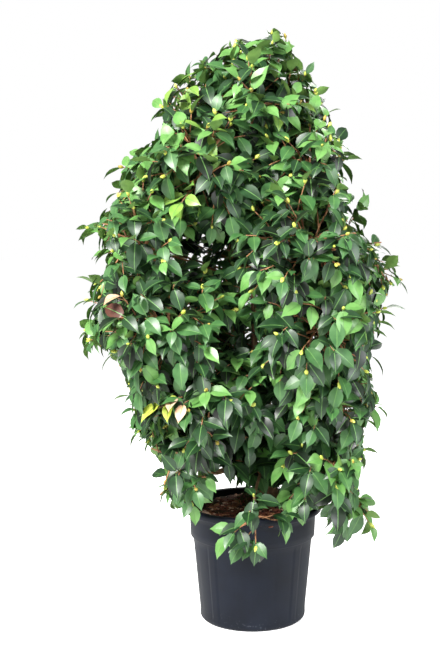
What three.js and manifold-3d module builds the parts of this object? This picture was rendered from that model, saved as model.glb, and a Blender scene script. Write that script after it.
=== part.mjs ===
// A camellia shrub in its nursery pot, two metres tall.
// Millimetres, +Z up, origin at the centre of the pot's flat underside, +X to the shrub's right.
import * as THREE from 'three';
import { mergeVertices } from 'three/addons/utils/BufferGeometryUtils.js';
import Module from 'manifold-3d';

const wasm = await Module();
wasm.setup();

// ---- Driving dimensions -------------------------------------------------------------------

const CLEARANCE = 0.35; // gap between two solids that touch on the real plant
const SHORTEST_EDGE = 0.04;
const THINNEST_FACE = 0.008; // a triangle's least height

const POT = {
  height: 410,
  sides: 32,
  wall: 4,
  floor: 6,
  baseRadius: 188,
  cornerRadius: 14,
  bodyRadius: 214, // just under the step
  stepHeight: 300,
  collarRadius: 221, // just over the step
  collarTopRadius: 225,
  rimRadius: 245,
  rimDepth: 24,
  rimInnerRadius: 221,
};

const SOIL = {
  level: 380, // at the pot's wall
  footLevel: 412, // the mound's flat top, where the trunk stands
  footRadius: 78,
};

const TRUNK = {
  x: 62,
  y: 26,
  topX: 40,
  topY: 18,
  height: 88, // from the flat cut to the fork
  flareRadius: 64,
  waistRadius: 37,
  forkRadius: 49,
  rootLobes: 5,
  sides: 15,
};

const STEMS = {
  count: 5,
  turn: 54, // degrees, azimuth of the first stem
  spread: 31, // how far from the fork's centre each one starts
  rootRadius: 15,
  tipRadius: 6.5,
  columnRadius: 72, // how far from the crown's middle line they stand
  sides: 6,
  steps: 8,
};

const BOUGHS = {
  rootRadius: 9,
  tipRadius: 4.5,
  rise: 230, // from the root on its stem to the tip
  aboveFork: 16,
  apart: 37, // each further bough of a stem starts this much higher
  highest: 1200, // masses over this height stand on the stems themselves
  sides: 5,
  steps: 4,
};

// Crown: its middle line runs through the stems, and each tier of foliage has a reach from the
// pot's axis to the left, to the right, and to the front and back.
const MIDDLE_LINE = [
  [450, 40, 18],
  [900, 5, 4],
  [1500, 0, 0],
  [2100, 10, 0],
];
const TIERS = [
  { name: 'skirt', z: 590, radius: 185, left: 480, right: 480, deep: 410, count: 4, turn: 45, column: 112 },
  { name: 'low', z: 805, radius: 215, left: 495, right: 505, deep: 460, count: 5, turn: 36, column: 116 },
  { name: 'waist', z: 1050, radius: 245, left: 655, right: 560, deep: 530, count: 6, turn: 0, column: 116 },
  { name: 'shoulder', z: 1315, radius: 245, left: 660, right: 600, deep: 530, count: 5, turn: 0, column: 108 },
  { name: 'upper', z: 1570, radius: 210, left: 525, right: 415, deep: 430, count: 5, turn: 36, column: 96 },
  { name: 'top', z: 1785, radius: 170, left: 365, right: 305, deep: 300, count: 4, turn: 0, column: 60 },
];
const LEADERS = [
  { name: 'leader_left', at: [-58, -34, 1925], radius: 116, stretch: 0.98 },
  { name: 'leader_right', at: [84, 30, 1940], radius: 126, stretch: 1.04 },
];
const SPRAYS = [
  { name: 'spray_left', at: [-292, -84, 480], radius: 98, out: [-0.8, -0.2, -0.55] },
  { name: 'spray_right', at: [372, -96, 425], radius: 104, out: [0.75, -0.15, -0.65] },
  { name: 'spray_front', at: [6, -305, 440], radius: 104, out: [0.05, -0.55, -0.85] },
];
const RIM_CLEARANCE = 10; // foliage keeps this far from the pot

const MASS = {
  gap: 3, // half the gap between two neighbouring spaces
  coreShare: 0.52, // the core's radius over the space's
  coreDetail: 1,
  footShare: 0.2, // how far outside the core the stem starts, over the radius
  twigs: 5,
  cap: 112, // degrees, the cap of directions that twigs take
  twigShare: 0.62, // where a twig ends, over the reach in its direction
  twigRadius: 4.6,
  stemRadius: 5.2,
  wander: 14, // how far the stem may pass from the space's centre, on each axis
  budRadius: 7,
  budLength: 24,
};

// Each mass tries some seeds and keeps the fullest. Where that makes a poor solid, the mass
// takes the seed that is chosen here.
const SEEDS = {
  tries: 8,
  apart: 40,
  chosen: {
    foliage_skirt_1: 1,
    foliage_skirt_2: 8,
    foliage_low_4: 4,
    foliage_low_5: 6,
    foliage_waist_2: 7,
    foliage_shoulder_2: 9,
    foliage_shoulder_3: 7,
    foliage_shoulder_4: 9,
    foliage_shoulder_5: 6,
    foliage_upper_1: 2,
    foliage_upper_2: 7,
    foliage_upper_5: 4,
    foliage_top_1: 5,
    foliage_top_4: 9,
    leader_left: 7,
    leader_right: 5,
  },
};

const LEAF = {
  length: 140,
  radiusShare: 0.85, // the longest leaf of a small mass, over its radius
  widthShare: 0.5,
  thickness: 3.2,
  fold: 0.12, // how far the edges rise over the midrib, over the half width
  belly: 0.42, // where the blade is widest, over the length
  sunk: 0.6, // how far the root runs on past the twig's middle
  droop: 0.35,
  forward: 0.4, // how much of the twig's own direction a side leaf takes
  perTwig: 4,
  sizes: [1, 0.86, 0.72, 0.6], // taken in turn, until the blade fits
  tries: 12,
  enough: 19, // in a mass
  mayCross: 0.01, // mm3 that two blades may share
};

const GOLDEN_ANGLE = Math.PI * (3 - Math.sqrt(5));

// ---- Materials ----------------------------------------------------------------------------

function finish(color, roughness) {
  return new THREE.MeshStandardMaterial({ color, roughness, metalness: 0 });
}
const MATERIALS = {
  pot: finish(0x3a3f4a, 0.5),
  soil: finish(0x5a3524, 0.95),
  bark: finish(0x8a7560, 0.85),
  foliage: finish(0x2f5a31, 0.4),
};

// ---- Small helpers ------------------------------------------------------------------------

const UP = new THREE.Vector3(0, 0, 1);

function vector(x, y, z) {
  return new THREE.Vector3(x, y, z);
}

function radians(degrees) {
  return (degrees * Math.PI) / 180;
}

function lerp(a, b, t) {
  return a + (b - a) * t;
}

// The crown's seeded numbers: a linear congruential generator, the same for every run.
function seeded(seed) {
  let state = seed * 7919 + 12345;
  return () => {
    state = (state * 1664525 + 1013904223) % 4294967296;
    return state / 4294967296;
  };
}

// A point moved by an amount along a direction.
function along(point, direction, amount) {
  return point.clone().addScaledVector(direction, amount);
}

// Two directions square to the given one, and to each other. A limb's rings share one helper,
// so that its skin doesn't twist.
function squareTo(direction, helper = Math.abs(direction.z) > 0.9 ? vector(1, 0, 0) : UP) {
  const u = vector(0, 0, 0).crossVectors(helper, direction).normalize();
  const v = vector(0, 0, 0).crossVectors(direction, u).normalize();
  return [u, v];
}

// The crown's middle line at a height.
function middle(z) {
  let k = 0;
  while (k < MIDDLE_LINE.length - 2 && z > MIDDLE_LINE[k + 1][0]) k += 1;
  const [z0, x0, y0] = MIDDLE_LINE[k];
  const [z1, x1, y1] = MIDDLE_LINE[k + 1];
  const t = Math.min(1, Math.max(0, (z - z0) / (z1 - z0)));
  return vector(lerp(x0, x1, t), lerp(y0, y1, t), z);
}

// ---- Meshes and solids --------------------------------------------------------------------

// A closed skin over rings with equal counts of points, flat at both ends or drawn to a point
// at the far one. Rings run anticlockwise as seen from the far end.
function skinOver(rings, apex = null) {
  const count = rings[0].length;
  const positions = [];
  const index = [];
  for (const ring of rings) {
    for (const p of ring) positions.push(p.x, p.y, p.z);
  }
  for (let k = 0; k + 1 < rings.length; k += 1) {
    for (let i = 0; i < count; i += 1) {
      const a = k * count + i;
      const b = k * count + ((i + 1) % count);
      index.push(a, b, b + count, a, b + count, a + count);
    }
  }
  const last = (rings.length - 1) * count;
  for (let i = 1; i + 1 < count; i += 1) {
    index.push(0, i + 1, i);
    if (!apex) index.push(last, last + i, last + i + 1);
  }
  if (apex) {
    positions.push(apex.x, apex.y, apex.z);
    for (let i = 0; i < count; i += 1) index.push(last + i, last + ((i + 1) % count), last + count);
  }
  const geometry = new THREE.BufferGeometry();
  geometry.setAttribute('position', new THREE.Float32BufferAttribute(positions, 3));
  geometry.setIndex(index);
  return geometry;
}

// A ring of points round a centre, square to a direction.
function ringAt(centre, direction, radius, sides, lobe = () => 1, helper = undefined) {
  const [u, v] = squareTo(direction, helper);
  const ring = [];
  for (let i = 0; i < sides; i += 1) {
    const angle = (i / sides) * 2 * Math.PI;
    const r = radius * lobe(angle);
    ring.push(along(along(centre, u, r * Math.cos(angle)), v, r * Math.sin(angle)));
  }
  return ring;
}

function solidOf(geometry, tolerance = 1e-5) {
  const bare = geometry.clone();
  bare.deleteAttribute('normal');
  bare.deleteAttribute('uv');
  const merged = mergeVertices(bare, tolerance);
  const triVerts = new Uint32Array(merged.index.array);
  const vertProperties = new Float32Array(merged.attributes.position.array);
  return new wasm.Manifold(new wasm.Mesh({ numProp: 3, vertProperties, triVerts }));
}

function geometryOf(solid) {
  const mesh = solid.getMesh();
  const geometry = new THREE.BufferGeometry();
  geometry.setAttribute('position', new THREE.BufferAttribute(mesh.vertProperties, 3));
  geometry.setIndex(new THREE.BufferAttribute(mesh.triVerts, 1));
  return geometry;
}

// Whether a solid is one closed body whose every edge has two faces and some length.
function isClean(solid) {
  if (solid.decompose().length !== 1) return false;
  const { vertProperties, triVerts } = solid.getMesh();
  const ids = new Map();
  const idOf = (k) => {
    const key = [0, 1, 2].map((axis) => vertProperties[3 * k + axis].toFixed(3)).join();
    if (!ids.has(key)) ids.set(key, ids.size);
    return ids.get(key);
  };
  const pointOf = (k) => new THREE.Vector3().fromArray(vertProperties, 3 * k);
  const edges = new Set();
  for (let i = 0; i < triVerts.length; i += 3) {
    const corners = [0, 1, 2].map((k) => triVerts[i + k]);
    const triangle = new THREE.Triangle(...corners.map(pointOf));
    const sides = [triangle.a.distanceTo(triangle.b), triangle.b.distanceTo(triangle.c)];
    sides.push(triangle.c.distanceTo(triangle.a));
    if (Math.min(...sides) < SHORTEST_EDGE) return false;
    if ((2 * triangle.getArea()) / Math.max(...sides) < THINNEST_FACE) return false;
    for (let side = 0; side < 3; side += 1) {
      const edge = `${idOf(corners[side])}-${idOf(corners[(side + 1) % 3])}`;
      if (edges.has(edge)) return false;
      edges.add(edge);
    }
  }
  return true;
}

// The largest body of a solid: loose scraps go, and a sealed hollow is filled.
function largestBody(solid) {
  let best = null;
  for (const body of solid.decompose()) {
    if (!best || body.volume() > best.volume()) best = body;
  }
  return best;
}

const shrub = new THREE.Group();
shrub.name = 'camellia_in_pot';

function place(name, geometry, material) {
  const mesh = new THREE.Mesh(geometry, material);
  mesh.name = name;
  shrub.add(mesh);
}

// ---- Pot and soil -------------------------------------------------------------------------

function potProfile() {
  const { height, wall, floor, baseRadius, cornerRadius, bodyRadius } = POT;
  const { stepHeight, collarRadius, collarTopRadius, rimRadius, rimDepth, rimInnerRadius } = POT;
  const underRim = height - rimDepth;
  const points = [[0, 0]];
  for (const degrees of [0, 30, 60, 90]) {
    const angle = radians(degrees);
    const out = baseRadius - cornerRadius + cornerRadius * Math.sin(angle);
    points.push([out, cornerRadius - cornerRadius * Math.cos(angle)]);
  }
  points.push([bodyRadius, stepHeight], [collarRadius, stepHeight + 4]);
  points.push([collarTopRadius, underRim], [rimRadius - 3, underRim]);
  points.push([rimRadius, underRim + 6], [rimRadius, height - 8], [rimRadius - 7, height]);
  points.push([rimInnerRadius + 4, height], [rimInnerRadius, height - 5]);
  points.push([innerRadius(stepHeight), stepHeight], [baseRadius - wall - 6, floor], [0, floor]);
  return points.map(([r, z]) => new THREE.Vector2(r, z));
}

// The pot's inner wall at a height.
function innerRadius(z) {
  const { height, stepHeight, bodyRadius, baseRadius, wall, floor, rimInnerRadius } = POT;
  const atStep = bodyRadius - wall;
  if (z < stepHeight) return lerp(baseRadius - wall - 6, atStep, (z - floor) / (stepHeight - floor));
  return lerp(atStep, rimInnerRadius, (z - stepHeight) / (height - 5 - stepHeight));
}

function buildPot() {
  const geometry = new THREE.LatheGeometry(potProfile(), POT.sides);
  geometry.rotateX(Math.PI / 2);
  place('pot', geometry, MATERIALS.pot);
}

// The root ball and its mulch: it fills the pot, and its top rises from the wall to the flat
// mound that the trunk stands on.
function buildSoil() {
  const { level, footLevel, footRadius } = SOIL;
  const foot = vector(TRUNK.x, TRUNK.y, footLevel);
  const wallRing = (z) => {
    const ring = [];
    for (let i = 0; i < POT.sides; i += 1) {
      const angle = (i / POT.sides) * 2 * Math.PI;
      const r = innerRadius(z) - 2 * CLEARANCE;
      ring.push(vector(r * Math.cos(angle), r * Math.sin(angle), z));
    }
    return ring;
  };
  const bottom = wallRing(POT.floor + CLEARANCE);
  const step = wallRing(POT.stepHeight);
  const edge = wallRing(level);
  const ringToward = (share) =>
    edge.map((p, i) => {
      const angle = (i / POT.sides) * 2 * Math.PI;
      const near = vector(Math.cos(angle), Math.sin(angle), 0).multiplyScalar(footRadius).add(foot);
      const q = p.clone().lerp(near, share);
      q.z = lerp(level, footLevel, share * share * (3 - 2 * share));
      return q;
    });
  place('soil', skinOver([bottom, step, edge, ringToward(0.5), ringToward(1)]), MATERIALS.soil);
}

// ---- Trunk, stems and boughs --------------------------------------------------------------

// Every limb: its curve, its radius from root to tip, and the points that others keep clear of.
const limbs = [];

function limbSkin(limb, extra = 0) {
  const rings = [];
  const [helper] = squareTo(limb.curve.getPoint(1).sub(limb.curve.getPoint(0)).normalize());
  for (let k = 0; k <= limb.steps; k += 1) {
    const t = k / limb.steps;
    const direction = k === 0 && limb.flatRoot ? UP : limb.curve.getTangent(t);
    const radius = lerp(limb.rootRadius, limb.tipRadius, t) + extra;
    const centre = limb.curve.getPoint(t);
    if (extra > 0 && k === limb.steps) centre.addScaledVector(direction, extra);
    rings.push(ringAt(centre, direction, radius, limb.sides, () => 1, helper));
  }
  return skinOver(rings);
}

function addLimb(limb) {
  const samples = [];
  for (let k = 0; k <= 20; k += 1) {
    const t = k / 20;
    samples.push({ p: limb.curve.getPoint(t), r: lerp(limb.rootRadius, limb.tipRadius, t) });
  }
  limbs.push({ ...limb, samples });
  return limbs[limbs.length - 1];
}

// How far a point lies from a limb's surface.
function distanceToLimb(point, limb) {
  let nearest = Infinity;
  const segment = new THREE.Line3();
  const foot = vector(0, 0, 0);
  for (let k = 0; k + 1 < limb.samples.length; k += 1) {
    const a = limb.samples[k];
    const b = limb.samples[k + 1];
    segment.set(a.p, b.p).closestPointToPoint(point, true, foot);
    nearest = Math.min(nearest, foot.distanceTo(point) - Math.max(a.r, b.r));
  }
  return nearest;
}

// The trunk: a short butt that flares to its roots at the flat cut and widens to its fork.
function buildTrunk() {
  const { x, y, topX, topY, height, flareRadius, waistRadius, forkRadius, sides } = TRUNK;
  const base = SOIL.footLevel + CLEARANCE;
  const stages = [
    [0, flareRadius, 0.2],
    [0.12, lerp(flareRadius, waistRadius, 0.5), 0.15],
    [0.34, waistRadius, 0.07],
    [0.7, lerp(waistRadius, forkRadius, 0.35), 0.04],
    [1, forkRadius, 0.04],
  ];
  const rings = stages.map(([share, radius, lobing]) => {
    const centre = vector(lerp(x, topX, share), lerp(y, topY, share), base + height * share);
    return ringAt(centre, UP, radius, sides, (a) => 1 + lobing * Math.cos(TRUNK.rootLobes * a));
  });
  place('trunk', skinOver(rings), MATERIALS.bark);
}

function buildStem(name, azimuth, tip) {
  const root = vector(TRUNK.topX, TRUNK.topY, SOIL.footLevel + TRUNK.height + 2 * CLEARANCE);
  const out = vector(Math.cos(azimuth), Math.sin(azimuth), 0);
  const start = along(root, out, STEMS.spread);
  const onColumn = (z, share) => along(middle(z), out, STEMS.columnRadius * share);
  const points = [start, along(start, UP, 30), onColumn(760, 0.95)];
  points.push(onColumn(lerp(760, tip.z, 0.5), 1), tip);
  const curve = new THREE.CatmullRomCurve3(points, false, 'centripetal');
  const { rootRadius, tipRadius, sides, steps } = STEMS;
  const shape = { name, curve, rootRadius, tipRadius, sides, steps, flatRoot: true };
  const limb = addLimb({ ...shape, azimuth, boughs: 0 });
  place(name, limbSkin(limb), MATERIALS.bark);
  return limb;
}

// The stem nearest to an azimuth round the crown's middle line.
function nearestStem(stems, azimuth) {
  const apart = (stem) => 1 - Math.cos(stem.azimuth - azimuth);
  return stems.reduce((best, stem) => (apart(stem) < apart(best) ? stem : best));
}

// The place on a limb's curve at a height.
function atHeight(limb, z) {
  let low = 0;
  let high = 1;
  for (let k = 0; k < 30; k += 1) {
    const t = (low + high) / 2;
    if (limb.curve.getPoint(t).z < z) low = t;
    else high = t;
  }
  return low;
}

function buildBough(name, stem, tip, arrival, size) {
  const lowest = SOIL.footLevel + TRUNK.height + BOUGHS.aboveFork;
  const rootHeight = Math.max(lowest, tip.z - BOUGHS.rise) + BOUGHS.apart * stem.boughs;
  stem.boughs += 1;
  const t = atHeight(stem, rootHeight);
  const root = stem.curve.getPoint(t);
  const span = root.distanceTo(tip);
  const leaving = tip.clone().sub(root).normalize().add(stem.curve.getTangent(t)).normalize();
  const first = along(root, leaving, span * 0.35);
  const second = along(tip, arrival, -span * 0.3);
  const curve = new THREE.CubicBezierCurve3(root, first, second, tip);
  const stemRadius = lerp(stem.rootRadius, stem.tipRadius, t);
  const rootRadius = Math.min(BOUGHS.rootRadius * size, stemRadius * 0.8);
  const { tipRadius, sides, steps } = BOUGHS;
  const limb = addLimb({ name, curve, rootRadius, tipRadius, sides, steps });
  const seat = solidOf(limbSkin(stem, CLEARANCE));
  const bough = largestBody(solidOf(limbSkin(limb)).subtract(seat));
  place(name, geometryOf(bough), MATERIALS.bark);
  return limb;
}

// ---- Spaces of the foliage masses ---------------------------------------------------------

function signedPower(value, power) {
  return Math.sign(value) * Math.abs(value) ** power;
}

function describeTier(tier) {
  const masses = [];
  for (let k = 0; k < tier.count; k += 1) {
    const azimuth = radians(tier.turn + (360 / tier.count) * k);
    const across = signedPower(Math.cos(azimuth), 0.6);
    const deep = signedPower(Math.sin(azimuth), 0.7);
    const side = across > 0 ? tier.right : tier.left;
    const centre = vector(across * (side - tier.radius), deep * (tier.deep - tier.radius), tier.z);
    const line = middle(tier.z);
    const inward = line.clone().sub(centre).setZ(0).normalize();
    const wall = { normal: inward, offset: inward.dot(line) - tier.column };
    masses.push({
      name: `foliage_${tier.name}_${k + 1}`,
      tier: tier.name,
      centre,
      radius: tier.radius,
      stretch: 1,
      outward: inward.clone().negate().addScaledVector(UP, 0.2).normalize(),
      azimuth: Math.atan2(-inward.y, -inward.x),
      walls: [wall],
    });
  }
  return masses;
}

function describeMasses() {
  const masses = TIERS.flatMap(describeTier);
  for (const leader of LEADERS) {
    const centre = vector(...leader.at);
    const { name, radius, stretch } = leader;
    masses.push({ name, tier: 'leader', centre, radius, stretch, outward: UP.clone(), walls: [] });
  }
  for (const spray of SPRAYS) {
    const centre = vector(...spray.at);
    const outward = vector(...spray.out).normalize();
    const away = centre.clone().setZ(0).normalize();
    const azimuth = Math.atan2(away.y, away.x);
    const beyondRim = -(POT.rimRadius + RIM_CLEARANCE);
    const walls = [{ normal: away.clone().negate(), offset: beyondRim }];
    const { name, radius } = spray;
    masses.push({ name, tier: 'spray', centre, radius, stretch: 1, outward, azimuth, walls });
  }
  const overRim = { normal: UP.clone().negate(), offset: -(POT.height + RIM_CLEARANCE) };
  masses.forEach((mass, i) => {
    mass.number = i + 1;
    if (mass.tier === 'skirt') mass.walls.push(overRim);
    for (const other of masses) {
      if (other === mass) continue;
      const across = other.centre.clone().sub(mass.centre);
      const far = other.centre.lengthSq() - other.radius ** 2;
      const near = mass.centre.lengthSq() - mass.radius ** 2;
      const length = across.length();
      const offset = (far - near) / (2 * length) - MASS.gap;
      mass.walls.push({ normal: across.divideScalar(length), offset });
    }
  });
  return masses;
}

// How far the space runs from its centre in a direction.
function reach(mass, direction) {
  const rise = direction.z / mass.stretch;
  let distance = mass.radius / Math.hypot(direction.x, direction.y, rise);
  for (const wall of mass.walls) {
    const speed = wall.normal.dot(direction);
    if (speed > 1e-6) {
      distance = Math.min(distance, (wall.offset - wall.normal.dot(mass.centre)) / speed);
    }
  }
  return Math.max(distance, 0);
}

function inSpace(mass, point) {
  const offset = point.clone().sub(mass.centre);
  if (Math.hypot(offset.x, offset.y, offset.z / mass.stretch) > mass.radius) return false;
  return mass.walls.every((wall) => wall.normal.dot(point) < wall.offset);
}

// ---- Foliage ------------------------------------------------------------------------------

// The core: a round lump that keeps inside its mass's space.
function coreGeometry(mass, turn) {
  const core = new THREE.OctahedronGeometry(1, MASS.coreDetail).rotateZ(turn);
  const position = core.attributes.position;
  const direction = vector(0, 0, 0);
  for (let i = 0; i < position.count; i += 1) {
    direction.fromBufferAttribute(position, i).normalize();
    const distance = Math.min(mass.radius * MASS.coreShare, reach(mass, direction) * 0.8);
    const point = along(mass.centre, direction, distance);
    position.setXYZ(i, point.x, point.y, point.z);
  }
  return core;
}

// A three-sided twig through its points, with a pointed bud at its tip where it has one.
function twigGeometry(points, radius, bud) {
  const rings = [];
  const last = points.length - 1;
  points.forEach((point, k) => {
    const direction = points[Math.min(k + 1, last)].clone().sub(points[Math.max(k - 1, 0)]);
    rings.push(ringAt(point, direction.normalize(), lerp(radius, radius * 0.75, k / last), 3));
  });
  if (!bud) return skinOver(rings);
  const direction = points[last].clone().sub(points[last - 1]).normalize();
  const swelling = along(points[last], direction, MASS.budLength * 0.4);
  rings.push(ringAt(swelling, direction, MASS.budRadius, 3));
  return skinOver(rings, along(points[last], direction, MASS.budLength));
}

// A leaf: a folded blade of eight faces, from its root inside the twig to its tip.
function leafPoints(root, direction, face, length) {
  const side = vector(0, 0, 0).crossVectors(direction, face).normalize();
  const up = vector(0, 0, 0).crossVectors(side, direction).normalize();
  const half = (length * LEAF.widthShare) / 2;
  const belly = along(root, direction, length * LEAF.belly);
  const thick = LEAF.thickness / 2;
  return {
    root: along(root, direction, -LEAF.sunk),
    tip: along(along(root, direction, length), up, -length * 0.06),
    left: along(along(belly, side, half), up, half * LEAF.fold),
    right: along(along(belly, side, -half), up, half * LEAF.fold),
    top: along(belly, up, thick),
    under: along(belly, up, -thick),
  };
}

function leafGeometry(leaf) {
  const corners = [leaf.root, leaf.left, leaf.tip, leaf.right, leaf.top, leaf.under];
  const geometry = new THREE.BufferGeometry();
  const positions = corners.flatMap((p) => [p.x, p.y, p.z]);
  geometry.setAttribute('position', new THREE.Float32BufferAttribute(positions, 3));
  geometry.setIndex([0, 4, 1, 1, 4, 2, 2, 4, 3, 3, 4, 0, 0, 1, 5, 1, 2, 5, 2, 3, 5, 3, 0, 5]);
  return geometry;
}

// Points spread over a leaf, which are tested against the space and the limbs.
function leafSamples(leaf) {
  const middleLine = [0.25, 0.5, 0.75].map((t) => leaf.root.clone().lerp(leaf.tip, t));
  const edges = [];
  for (const edge of [leaf.left, leaf.right]) {
    edges.push(edge, edge.clone().lerp(leaf.tip, 0.5), edge.clone().lerp(leaf.root, 0.5));
  }
  return [leaf.tip, leaf.top, leaf.under, ...middleLine, ...edges];
}

// The pieces as one body, or nothing where that body isn't clean.
function cleanUnion(pieces) {
  const whole = largestBody(wasm.Manifold.union(pieces));
  return isClean(whole) ? whole : null;
}

function growMass(mass, seats, seed) {
  const random = seeded(seed);
  const nearLimbs = limbs.filter(
    (limb) => distanceToLimb(mass.centre, limb) < mass.radius * Math.max(1, mass.stretch) + 20,
  );
  const clear = (point, room) => nearLimbs.every((limb) => distanceToLimb(point, limb) > room);
  const fits = (points, room) => points.every((p) => inSpace(mass, p) && clear(p, room));

  const crest = along(mass.centre, mass.outward, reach(mass, mass.outward) * 0.4);
  const heart = vector(random(), random(), random()).multiplyScalar(MASS.wander).add(mass.centre);
  const stem = [mass.foot, heart, crest];
  const frame = [solidOf(twigGeometry(stem, MASS.stemRadius, false))];
  const trim = (solid) => largestBody(seats.reduce((rest, seat) => rest.subtract(seat), solid));
  const blades = [solidOf(coreGeometry(mass, 0.3))];
  const seatedCore = () => trim(wasm.Manifold.union([...frame, ...blades]));
  for (let coreTurn = 0.45; coreTurn < 3 && !isClean(seatedCore()); coreTurn += 0.15) {
    blades[0] = solidOf(coreGeometry(mass, coreTurn));
  }
  const [u, v] = squareTo(mass.outward);
  const turn = random() * 2 * Math.PI;
  const lowest = Math.cos(radians(MASS.cap));

  for (let k = 0; k < MASS.twigs; k += 1) {
    const high = lerp(1, lowest, k / (MASS.twigs - 0.5));
    const wide = Math.sqrt(1 - high * high);
    const angle = turn + k * GOLDEN_ANGLE + (random() - 0.5) * 0.5;
    const direction = mass.outward.clone().multiplyScalar(high);
    direction.addScaledVector(u, wide * Math.cos(angle)).addScaledVector(v, wide * Math.sin(angle));
    const start = mass.centre.clone().lerp(crest, Math.max(0, high) * 0.6);
    const end = along(mass.centre, direction, reach(mass, direction) * MASS.twigShare);
    const samples = [0.3, 0.6, 0.85, 1].map((t) => start.clone().lerp(end, t));
    const heading = end.clone().sub(start).normalize();
    samples.push(along(end, heading, MASS.budLength));
    if (!fits(samples, 8)) continue;
    const twig = solidOf(twigGeometry([start, end], MASS.twigRadius, true));
    if (!cleanUnion([...frame, twig, ...blades])) continue;
    frame.push(twig);

    const [side, over] = squareTo(heading);
    const past = (mass.radius * MASS.coreShare + 10) / mass.centre.distanceTo(end);
    const farthest = reach(mass, direction) - mass.centre.distanceTo(end);
    for (let j = 0; j < LEAF.perTwig; j += 1) {
      const terminal = j === 0;
      const share = terminal ? 0.98 : lerp(Math.min(past, 0.85), 0.94, (j - 1) / (LEAF.perTwig - 2));
      const root = start.clone().lerp(end, share);
      let spin = angle + j * GOLDEN_ANGLE + random();
      let size = Math.min(LEAF.length, mass.radius * LEAF.radiusShare) * (0.9 + 0.2 * random());
      if (terminal) size = Math.min(size, farthest + 2);
      const droop = LEAF.droop * (0.6 + 0.8 * random());
      for (let tries = 0; tries < LEAF.tries; tries += 1) {
        const spread = terminal ? 0.06 * tries : 0.9;
        const leafward = heading.clone().multiplyScalar(terminal ? 1 : LEAF.forward);
        leafward.addScaledVector(side, Math.cos(spin) * spread);
        leafward.addScaledVector(over, Math.sin(spin) * spread);
        leafward.z -= terminal ? 0 : droop;
        leafward.normalize();
        const face = direction.clone().addScaledVector(UP, 0.8);
        if (face.clone().cross(leafward).length() < 0.2) face.add(side);
        const scale = LEAF.sizes[tries % LEAF.sizes.length];
        const leaf = leafPoints(root, leafward, face, size * scale);
        spin += GOLDEN_ANGLE / 2;
        if (!fits(leafSamples(leaf), 6)) continue;
        const blade = solidOf(leafGeometry(leaf));
        if (blades.some((other) => blade.intersect(other).volume() > LEAF.mayCross)) continue;
        if (!cleanUnion([...frame, ...blades, blade])) continue;
        blades.push(blade);
        break;
      }
    }
  }
  let trimmed = trim(cleanUnion([...frame, ...blades]));
  while (blades.length > 1 && !isClean(trimmed)) {
    blades.pop();
    trimmed = trim(wasm.Manifold.union([...frame, ...blades]));
  }
  return { solid: trimmed, leaves: blades.length - 1 };
}

function growFullest(mass, seats) {
  const chosen = SEEDS.chosen[mass.name];
  if (chosen) return growMass(mass, seats, mass.number + SEEDS.apart * chosen);
  let fullest = null;
  for (let k = 0; k < SEEDS.tries; k += 1) {
    const grown = growMass(mass, seats, mass.number + SEEDS.apart * k);
    if (!fullest || grown.leaves > fullest.leaves) fullest = grown;
    if (fullest.leaves >= LEAF.enough) break;
  }
  return fullest;
}

// ---- The whole shrub ----------------------------------------------------------------------

// Where a limb ends at a mass, just outside its core, on the side that faces the crown's
// middle line and the ground.
function entry(mass, drop) {
  const inward = vector(-Math.cos(mass.azimuth), -Math.sin(mass.azimuth), 0);
  const direction = inward.multiplyScalar(1 - drop).addScaledVector(UP, -drop).normalize();
  const distance = mass.radius * (MASS.coreShare + MASS.footShare);
  return along(mass.centre, direction, distance);
}

// A mass's own stem starts inside the limb that carries it, and is trimmed clear of it.
function footAt(limb) {
  return along(limb.curve.getPoint(1), limb.curve.getTangent(1), -2);
}

function buildShrub() {
  buildPot();
  buildSoil();
  buildTrunk();
  const masses = describeMasses();
  const named = new Map(masses.map((mass) => [mass.name, mass]));

  // Each stem's tip carries one of the uppermost masses.
  const topmost = ['foliage_top_2', 'leader_left', 'foliage_top_3', 'foliage_top_4', 'leader_right'];
  const stems = [];
  topmost.forEach((name, k) => {
    const mass = named.get(name);
    const azimuth = radians(STEMS.turn + (360 / STEMS.count) * k);
    const below = mass.tier === 'leader' ? mass.radius * 0.8 : 0;
    const tip = below ? along(mass.centre, UP, -below) : entry(mass, 0.6);
    const stem = buildStem(`stem_${k + 1}`, azimuth, tip);
    stems.push(stem);
    mass.foot = footAt(stem);
  });

  const upward = masses.filter((mass) => !mass.foot).sort((a, b) => a.centre.z - b.centre.z);
  for (const mass of upward) {
    if (mass.centre.z < BOUGHS.highest) {
      const stem = nearestStem(stems, mass.azimuth);
      const tip = entry(mass, mass.tier === 'spray' ? -0.3 : 0.3);
      const arrival = mass.centre.clone().sub(tip).normalize();
      const size = mass.tier === 'spray' ? 0.75 : 1;
      const name = mass.name.replace('foliage', 'bough').replace('spray', 'bough_spray');
      const bough = buildBough(name, stem, tip, arrival, size);
      mass.foot = footAt(bough);
    } else {
      const z = mass.centre.z - mass.radius * 0.4;
      const feet = stems.map((stem) => stem.curve.getPoint(atHeight(stem, z)));
      feet.sort((a, b) => a.distanceTo(mass.centre) - b.distanceTo(mass.centre));
      [mass.foot] = feet;
    }
  }
  const seats = limbs.map((limb) => solidOf(limbSkin(limb, CLEARANCE)));
  let leaves = 0;
  for (const mass of masses) {
    const grown = growFullest(mass, seats);
    place(mass.name, geometryOf(grown.solid), MATERIALS.foliage);
    leaves += grown.leaves;
  }
  return leaves;
}

shrub.userData.leaves = buildShrub();

export default shrub;
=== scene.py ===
# A camellia shrub in its black nursery pot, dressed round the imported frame.
# Metres, +Z up, origin at the centre of the pot's flat underside, +X to the shrub's right.
import math

import bpy
import numpy as np
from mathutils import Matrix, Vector, noise


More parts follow.
